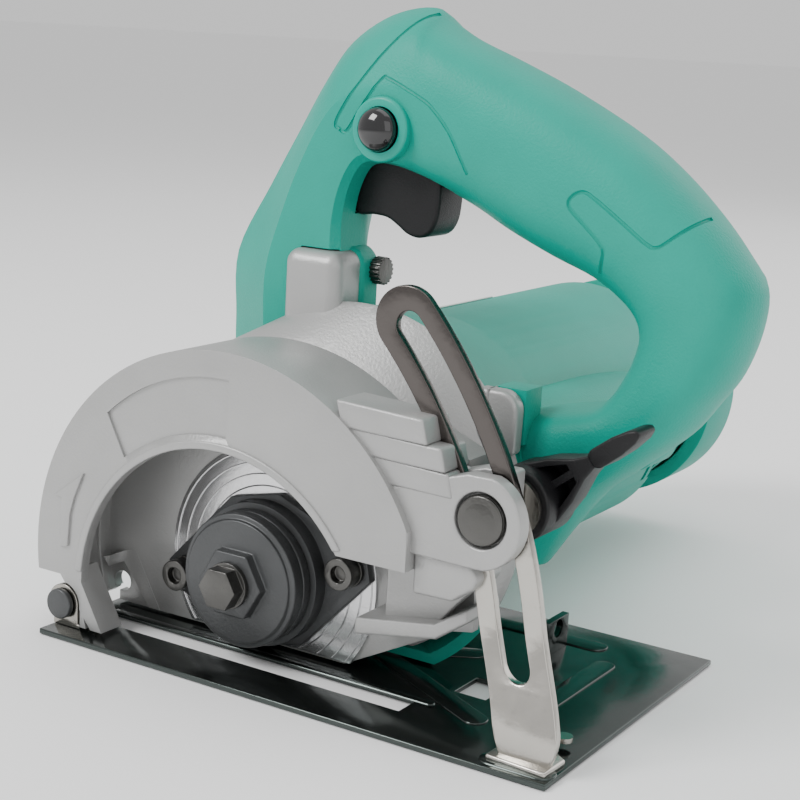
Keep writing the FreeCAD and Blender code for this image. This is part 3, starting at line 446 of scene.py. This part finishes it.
boolean(handle, boss_room)
head_line = curve_through([(-17.6, 140.0), (-15.4, 139.6), (-11.0, 146.0), (-5.6, 153.4), (-3.8, 153.7),
                           (0.3, 152.2), (6.0, 149.6), (10.0, 147.2), (15.8, 140.9), (20.8, 131.5)], 8)
grip_top = curve_through([(-17.6, 140.0), (-18.4, 142.6), (-9.5, 156.5), (-0.5, 167.8), (3.0, 171.0)], 8)
rear_line = curve_through([(58.0, 110.8), (59.6, 116.0), (58.6, 118.6), (54.0, 122.8), (50.2, 126.2),
                           (50.2, 128.6), (53.2, 130.3), (56.5, 129.0), (64.0, 124.2), (70.6, 119.8),
                           (73.6, 119.2), (77.0, 122.0), (81.2, 126.0)], 8)
GROOVE_RADIUS = 0.55
for path in (head_line, grip_top, rear_line):
    groove(handle, path, GROOVE_RADIUS)
finish_piece(handle, "handle_shell", "saw", TEAL, "handle_left", "handle_right", angle=28)

# %% [markdown]
# ## What is fixed to the handle
# The halves are held by screws that sit in bosses moulded into the far half. A foot of the handle
# wraps round the casing's cast boss and a ridged screw pulls the two together. The button has a
# collar so that it isn't pressed by chance. All of these are round or flat pieces, so each is an
# outline pulled to its depth, with its edges bevelled.

# %% Screw bosses on the far half, each with a counterbore, and a cap over the trigger's pin
SCREW_SPOTS = ((-40.0, 108.0), (-14.0, 158.0), (30.0, 148.0), (84.0, 108.0), (64.0, 66.0))
bosses = []
for x, z in SCREW_SPOTS:
    boss = prism(arc(x, z, 6.2, 0, 350, 36), 14.0, 29.4, 1.0)
    boolean(boss, prism(arc(x, z, 4.1, 0, 350, 36), 26.0, 32.0, 0))
    bosses.append(boss)
bosses.append(prism(arc(-15.0, 135.0, 3.6, 0, 350, 36), 20.5, 28.4, 1.0))
finish_piece(join(*bosses), "screw_bosses", "saw", TEAL)

# %% The handle's foot round the boss, and the button's collar
foot = prism([(-34.0, 70.0), (-12.5, 70.0), (-12.5, 103.5), (-13.3, 106.6), (-16.0, 109.0), (-34.0, 109.4)],
             2.5, 11.5, 1.8, 4)
finish_piece(foot, "handle_foot", "saw", TEAL)
collar = prism(arc(*BUTTON, 8.4, 0, 352, 46), -5.6, -1.0, 0.9, 3)
dish = prism(arc(*BUTTON, 5.9, 0, 350, 36), -7.0, 2.0, 0)
boolean(collar, dish)
finish_piece(collar, "button_collar", "saw", TEAL_SMOOTH)

# %% The ridged screw behind the cast boss, drawn along Y and turned to lie along X
SCREW_Y, SCREW_Z = 9.5, 102.5
ridges = []
for tooth in range(0, 360, 20):
    ridges += arc(0, 0, 3.8, tooth, tooth + 9, 2) + arc(0, 0, 3.4, tooth + 11, tooth + 18, 2)
ridge = prism([(-x, z) for x, z in ridges], -12.6, -9.4, 0.15)
shank = prism(arc(0, 0, 2.1, 0, 345, 24), -27.0, -12.0, 0)
join(ridge, shank)
ridge.rotation_euler = (0, 0, math.radians(-90))
ridge.location = (0, SCREW_Y * MM, SCREW_Z * MM)
settle(ridge)
print("front screw box", [tuple(round(c / MM, 1) for c in ridge.bound_box[i]) for i in (0, 6)])
finish_piece(ridge, "front_screw", "saw", DARK_BOLT, "handle_front_screw", angle=20)

# %% [markdown]
# ## Lock button and trigger
# The button is a polished dome on a short stem, so it starts as a ball that is flattened. The
# trigger is a deep moulding with a hollow for the finger. Its side view carries that shape, so a
# smooth curve runs through the hollow and the outline is pulled across the trigger's width.

# %% The lock button: a glossy dome
bpy.ops.object.select_all(action="DESELECT")
bpy.ops.mesh.primitive_uv_sphere_add(segments=48, ring_count=24, radius=5.6 * MM)
dome = bpy.context.object
bpy.ops.transform.resize(value=(1, 0.62, 1))
dome.location = (BUTTON[0] * MM, -6.4 * MM, BUTTON[1] * MM)
settle(dome)
stem = prism(arc(*BUTTON, 5.3, 0, 350, 36), -6.4, 1.5, 0.2)
finish_piece(join(dome, stem), "lock_dome", "lock_button", GLOSS_BLACK, "lock_button")

# %% The trigger: a smooth finger hollow between two lips
trigger_side = [(-18.6, 134.0), (-18.6, 122.0), (-18.0, 118.6), (-16.2, 117.2)]
trigger_side += curve_through([(-12.0, 117.8), (-7.5, 117.4), (-4.0, 115.6), (-1.0, 113.7), (2.6, 113.0),
                               (6.0, 114.4), (8.0, 118.0), (8.6, 122.6)], 4)
trigger_side += [(8.6, 135.6)]
trigger = prism(trigger_side, 4.8, 17.6, 1.6, 4)
finish_piece(trigger, "trigger_pad", "trigger", BLACK, "trigger")


# %% [markdown]
# ## The blade guard
# The real guard is an aluminium casting: a deep half-round shell with a flat face, a clamp lug at
# the rear and stepped ribs that stiffen the corner above it. The design's guard is kept as the
# shell. Its square lug is cut off and a rounded one takes its place, and the cast details are cut
# into the face or laid on the rim.

# %% The shell, with its square lug cut off
shell = rounded_copy("blade_guard", 1.5)
square_lug = prism([(33.9, 40.0), (70.0, 40.0), (70.0, 75.0), (33.9, 75.0)], -60.0, -26.9, 0)
boolean(shell, square_lug)
panel = prism(arc(*SPINDLE, 55.2, 88, 133, 24) + arc(-23.0, 15.0, 48.6, 129, 87, 24), -45.0, -43.3, 0)
boolean(shell, panel)
far_foot = prism([(-75.0, 2.0), (-58.0, 2.0), (-58.0, 19.5), (-73.5, 19.5)], -26.6, -19.6, 0)
boolean(shell, far_foot)
print("shell faces", len(shell.data.polygons))

# %% The rounded clamp lug: nose, arm slot and counterbore
nose = [(28.0, 45.0), (49.0, 44.6)] + arc(51.0, 56.0, 11.6, -78, 72, 20)
nose += [(48.0, 67.0), (34.0, 62.6), (28.0, 60.0)]
lug = prism(nose, -42.0, -27.2, 0)
boolean(lug, prism([(55.5, 30.0), (75.0, 30.0), (75.0, 80.0), (55.5, 80.0)], -34.5, -20.0, 0))
slot_cut = prism([(20.0, 30.0), (70.0, 30.0), (70.0, 80.0), (20.0, 80.0)], -37.3, -33.7, 0)
boolean(lug, slot_cut)
counterbore = prism(arc(*BOLT, 6.8, 0, 352, 46), -43.0, -39.6, 0)
boolean(lug, counterbore)
modify(lug, "BEVEL", width=1.3 * MM, segments=4, limit_method="ANGLE", angle_limit=math.radians(32),
       use_clamp_overlap=True)
block_under = prism([(34.0, 34.5), (45.0, 34.8), (50.4, 38.8), (51.6, 41.7), (48.3, 46.2), (34.0, 46.2)],
                    -40.5, -27.5, 1.0)
ledge = prism([(14.0, 17.5), (37.5, 21.7), (46.3, 28.0), (45.7, 31.2), (36.8, 25.6), (14.0, 22.0)],
              -34.0, -17.5, 0.8)
inner_wall = prism([(20.0, 22.0), (36.0, 25.0), (44.0, 34.0), (44.0, 46.0), (20.0, 46.0)], -29.5, -26.8, 0.6)

# %% Stepped ribs between the shell and the lug, and the closed front wall
STEPS = [(79.0, 72.8, 9.0, 36.0), (72.8, 67.0, 12.0, 41.0), (67.0, 61.0, 17.5, 43.0), (61.0, 55.0, 22.5, 41.5),
         (55.0, 49.5, 27.0, 40.0), (49.5, 44.5, 30.0, 38.0)]
ribs = []
for index, (top, low, left, right) in enumerate(STEPS):
    outline = [(left + 2.5, top), (right, top - 1.0), (right + 1.5, low - 0.8), (left + 4.5, low - 0.4)]
    ribs.append(prism(outline, -43.5 + 0.55 * index, -31.0, 0.7))
front_wall = prism(arc(*SPINDLE, 60.6, 160, 199, 16) + arc(*SPINDLE, 57.8, 198.2, 160, 16), -34.8, -17.0, 0.3)
wall_rib = prism(arc(*SPINDLE, 58.5, 150, 198, 16) + arc(*SPINDLE, 56.6, 197.6, 150, 16), -25.0, -22.6, 0.4)
ribs += [front_wall, wall_rib]

# %% A plain arrow cast on the face, and the whole casting
arrow = prism([(-67.2, 46.0), (-77.4, 38.4), (-74.8, 38.0), (-75.2, 24.0), (-72.5, 24.6), (-71.8, 34.0),
               (-70.4, 38.6)], -44.8, -43.0, 0.25)
rim = prism(arc(-23.0, 15.0, 47.0, 35, 176, 60) + arc(-23.0, 15.0, 44.9, 176, 36, 60), -44.5, -42.0, 0.4)
guard = join(shell, lug, block_under, ledge, inner_wall, arrow, rim, *ribs)
finish_piece(guard, "guard_casting", "saw", CAST, "blade_guard")

# %% [markdown]
# ## Machined seat and bolt head
# The seat behind the bearing box is turned on a lathe, which leaves fine rings. Thin rings laid on
# a disc catch the light as turning marks do, and they are cut off level with the casting's floor.

# %% The machined seat behind the bearing box, with turning marks
seat = prism(arc(*SPINDLE, 33.5, -38, 218, 72), -20.2, -19.0, 0.2)
seat_rings = []
for radius in (32.2, 29.0, 25.8, 22.6):
    bpy.ops.object.select_all(action="DESELECT")
    bpy.ops.mesh.primitive_torus_add(major_radius=radius * MM, minor_radius=0.22 * MM, major_segments=96,
                                     minor_segments=8, rotation=(math.radians(90), 0, 0),
                                     location=(SPINDLE[0] * MM, -20.2 * MM, SPINDLE[1] * MM))
    ring = settle(bpy.context.object)
    bpy.ops.object.mode_set(mode="EDIT")
    bpy.ops.mesh.select_all(action="SELECT")
    bpy.ops.mesh.bisect(plane_co=(0, 0, 3.4 * MM), plane_no=(0, 0, 1), clear_inner=True, use_fill=True)
    bpy.ops.object.mode_set(mode="OBJECT")
    seat_rings.append(ring)
finish_piece(join(seat, *seat_rings), "machined_seat", "saw", CAST_BRIGHT)

# %% The clamp bolt's domed head
bpy.ops.object.select_all(action="DESELECT")
bpy.ops.mesh.primitive_uv_sphere_add(segments=48, ring_count=20, radius=6.2 * MM)
dome_head = bpy.context.object
bpy.ops.transform.resize(value=(1, 0.24, 1))
dome_head.location = (BOLT[0] * MM, -41.2 * MM, BOLT[1] * MM)
settle(dome_head)
dome_foot = rounded_copy("clamp_bolt", 0.5)
finish_piece(join(dome_head, dome_foot), "clamp_bolt_domed", "saw", DARK_BOLT, "clamp_bolt")


# %% [markdown]
# ## The clamp lever
# A moulded lever on the clamp nut. It is light, so its root is an open web with ribs and only the
# tip is a solid pad for the thumb. It is drawn along its own length and turned into place.

# %% Points along the lever
LEVER_TILT = math.radians(38.0)


def along_lever(along, across):
    """A point of the lever in X and Z, from a distance along it and one across it."""
    return (BOLT[0] + along * math.cos(LEVER_TILT) - across * math.sin(LEVER_TILT),
            BOLT[1] + along * math.sin(LEVER_TILT) + across * math.cos(LEVER_TILT))


def lever_piece(sides, near, far, bevel):
    """A piece of the lever, the same on both sides of its middle line."""
    upper = [along_lever(a, w) for a, w in sides]
    lower = [along_lever(a, -w) for a, w in reversed(sides)]
    return prism(upper + lower, near, far, bevel, 3)


# %% Root web, neck and pad
web = lever_piece([(-2.0, 8.4), (5.0, 8.0), (11.0, 6.0), (17.0, 2.8), (20.5, 1.7), (32.0, 1.6)],
                  -20.0, -11.5, 0.6)
WEB_POCKET = [(5.5, 0.9), (15.0, 0.9), (15.0, 2.5), (10.5, 4.4), (5.5, 6.2)]
for side in (1, -1):
    boolean(web, prism([along_lever(a, side * w) for a, w in WEB_POCKET], -21.0, -13.5, 0))
pad = lever_piece([(21.0, 1.6), (22.5, 2.5), (29.0, 2.4), (33.5, 1.7), (35.5, 0.8)], -20.8, -10.8, 0.7)
hub = prism(arc(*BOLT, 9.2, 0, 352, 46), -25.2, -9.6, 0.8)
bore = prism(arc(*BOLT, 3.3, 0, 345, 24), -30.0, -5.0, 0)
boolean(hub, bore)
finish_piece(join(web, pad, hub), "lever_moulding", "clamp_lever", BLACK, "clamp_lever")


# %% [markdown]
# ## The depth arm
# A slotted strip that is curved about the front hinge, so the clamp bolt follows it as the plate
# tilts. Its lower end is pressed outwards to the plate's corner. The strip is cut into rows first,
# because a flat face with only edge points can't bend.

# %% The strip and its bend
strip = rounded_copy("depth_arm", 0.35)
bpy.ops.object.mode_set(mode="EDIT")
bpy.ops.mesh.select_all(action="SELECT")
bpy.ops.mesh.bisect(plane_co=(0, 0, 3.9 * MM), plane_no=(0, 0, 1), clear_inner=True, use_fill=True)
for level in range(6, 34, 3):
    bpy.ops.mesh.select_all(action="SELECT")
    bpy.ops.mesh.bisect(plane_co=(0, 0, level * MM), plane_no=(0, 0, 1))
bpy.ops.mesh.select_all(action="SELECT")
bpy.ops.mesh.quads_convert_to_tris()
bpy.ops.object.mode_set(mode="OBJECT")
BEND_TOP, BEND_OUT, BEND_BACK = 33.0, 7.4, 7.6
for vertex in strip.data.vertices:
    low = max(0.0, 1 - (vertex.co.z / MM - 3.9) / (BEND_TOP - 3.9))
    ease = low * low * (3 - 2 * low)
    vertex.co.x += BEND_BACK * ease * MM
    vertex.co.y -= BEND_OUT * ease * MM
    if vertex.co.z < 8 * MM:
        vertex.co.z -= (8 * MM - vertex.co.z) * 0.55
print("strip faces", len(strip.data.polygons))

# %% [markdown]
# ## The base plate
# A pressed steel plate. Shallow ribs are pressed up in it for stiffness, and it has a guide window.
# The strip's foot is a pad of the same press work, spot-welded at the corner.

# %% Pressed ribs on the plate
def pressed(outline, low, high, bevel=0.35):
    """A low pad on the plate from an outline in X and Y."""
    obj = prism([(x, -y) for x, y in outline], low, high, bevel)
    obj.rotation_euler = (math.radians(90), 0, 0)
    return settle(obj)


def capsule(start, end, half, count=10):
    """The outline of a bar with round ends between two points."""
    way = math.degrees(math.atan2(end[1] - start[1], end[0] - start[0]))
    return arc(*end, half, way - 90, way + 90, count) + arc(*start, half, way + 90, way + 270, count)


plate = rounded_copy("base_plate", 0.35)
rib_lines = [((4.0, -1.0), (24.5, 11.5), 3.4), ((7.0, -6.0), (46.5, -27.5), 3.4),
             ((-52.0, -2.0), (-14.0, 14.0), 3.0), ((-30.0, 38.0), (48.0, 38.0), 3.4),
             ((56.0, -12.0), (56.0, 26.0), 3.2)]
pads = [pressed(capsule(a, b, half), 1.0, 1.85, 0.3) for a, b, half in rib_lines]
pads.append(pressed(capsule((33.0, -26.5), (-70.0, -26.5), 1.3), 1.2, 2.0, 0.5))
pads.append(pressed(capsule((61.5, -45.0), (74.0, -45.0), 3.6), 1.2, 1.9, 0.4))
finish_piece(join(plate, *pads), "pressed_plate", "base", PLATED, "base_plate")
strip_foot = pressed([(59.8, -46.5), (76.0, -47.6), (76.4, -37.5), (72.0, -34.4), (60.0, -34.4)],
                     1.4, 3.0, 0.6)
finish_piece(join(strip, strip_foot), "depth_strip", "base", STRIP, "depth_arm")


# %% [markdown]
# ## Everything else from the design
# Pieces that are right in the design get rounded edges, because cast and machined edges are never
# sharp and the highlights along them are what makes metal read as metal.

# %% The gear casing, with its screw ear rounded like a cast lug
casing = rounded_copy("gear_housing", 1.2)
boolean(casing, prism([(34.5, 64.0), (50.0, 64.0), (50.0, 84.0), (34.5, 84.0)], -9.8, -4.4, 0))
round_ear = prism([(31.0, 62.0), (42.4, 64.0), (42.6, 74.0)] + arc(37.6, 75.0, 5.0, 0, 90, 8) + [(31.0, 80.0)],
                  -9.4, -4.6, 1.2)
finish_piece(join(casing, round_ear), "gear_casing", "saw", CAST, "gear_housing")

# %% The motor casing's flank, where it swells over the brush gear
FLANK_X, FLANK_Z = 30.0, 58.0
FLANK = [(-3.5, 12.4, 13.6), (4.0, 13.4, 14.8), (30.0, 13.4, 15.0), (62.0, 12.6, 14.4), (84.0, 10.4, 12.4),
         (98.0, 7.0, 9.0)]                # place in Y, half width, half height
flank_rings = []
for along, wide, tall in curve_through(FLANK, 4):
    flank_rings.append([(FLANK_X + wide * math.cos(math.radians(a)), along,
                         FLANK_Z + tall * math.sin(math.radians(a))) for a in range(0, 360, 9)])
finish_piece(skin(flank_rings), "motor_flank", "saw", TEAL)

# %% Rounded copies
ROUNDED = {
    "motor_housing": (2.2, "saw"),
    "rear_cover": (1.2, "saw"), "bearing_box": (0.7, "saw"), "outer_flange": (0.5, "spindle"),
    "inner_flange": (0.5, "spindle"), "flange_bolt": (0.5, "spindle"), "bearing_box_screws": (0.3, "saw"),
    "pivot_bracket": (0.4, "base"), "pivot_rivet": (0.5, "base"), "fence_tab": (0.4, "base"),
    "case_screw": (0.5, "saw"), "spring_washers": (0.2, "saw"), "nameplate": (0.2, "saw")}
for name, (width, body) in ROUNDED.items():
    piece = rounded_copy(name, width)
    finish_piece(piece, name + "_look", body, FINISHES[SLOT_OF[name]], name)
    print(name, len(piece.data.polygons))


# %% [markdown]
# ## Stage, light and camera
# A pale floor, a large soft key from the upper left and a wide fill keep the metal bright and the
# shadows soft.

# %% Floor, lights and camera
bpy.ops.object.select_all(action="DESELECT")
bpy.ops.mesh.primitive_plane_add(size=60.0, location=(0, 0, -0.0002))
floor = bpy.context.object
floor.name = "floor"
floor.data.materials.append(new_finish("floor_white", (0.93, 0.93, 0.93), 0.7)[0])


def area_light(name, spot, target, size, power):
    """A square soft light aimed at a point."""
    data = bpy.data.lights.new(name, "AREA")
    data.size = size
    data.energy = power
    lamp = bpy.data.objects.new(name, data)
    bpy.context.scene.collection.objects.link(lamp)
    lamp.location = spot
    lamp.rotation_euler = (Vector(target) - Vector(spot)).to_track_quat("-Z", "Y").to_euler()


aim = (0.0, 0.03, 0.08)
area_light("key", (-0.55, -0.75, 0.9), aim, 0.5, 12)
area_light("fill", (0.9, -0.7, 0.5), aim, 0.9, 2.5)
area_light("top", (0.1, 0.3, 1.3), aim, 1.2, 6)
area_light("back", (0.4, 1.1, 0.6), aim, 1.0, 4)
world = bpy.data.worlds.new("studio")
world.use_nodes = True
world.node_tree.nodes["Background"].inputs["Color"].default_value = (1, 1, 1, 1)
world.node_tree.nodes["Background"].inputs["Strength"].default_value = 0.8
bpy.context.scene.world = world

camera_data = bpy.data.cameras.new("camera")
camera_data.lens = 74.7                    # millimetres, a short portrait lens
camera_data.sensor_width = 36.0
camera = bpy.data.objects.new("camera", camera_data)
bpy.context.scene.collection.objects.link(camera)
azimuth, pitch, roll = (math.radians(a) for a in (31.46, 12.35, 3.2))
turn = (Matrix.Rotation(azimuth, 4, "Z") @ Matrix.Rotation(math.radians(90) - pitch, 4, "X")
        @ Matrix.Rotation(roll, 4, "Z"))
camera.matrix_world = Matrix.Translation((0.22657, -0.36533, 0.16433)) @ turn
bpy.context.scene.camera = camera

# %% Update the scene, and the end
bpy.context.view_layer.update()
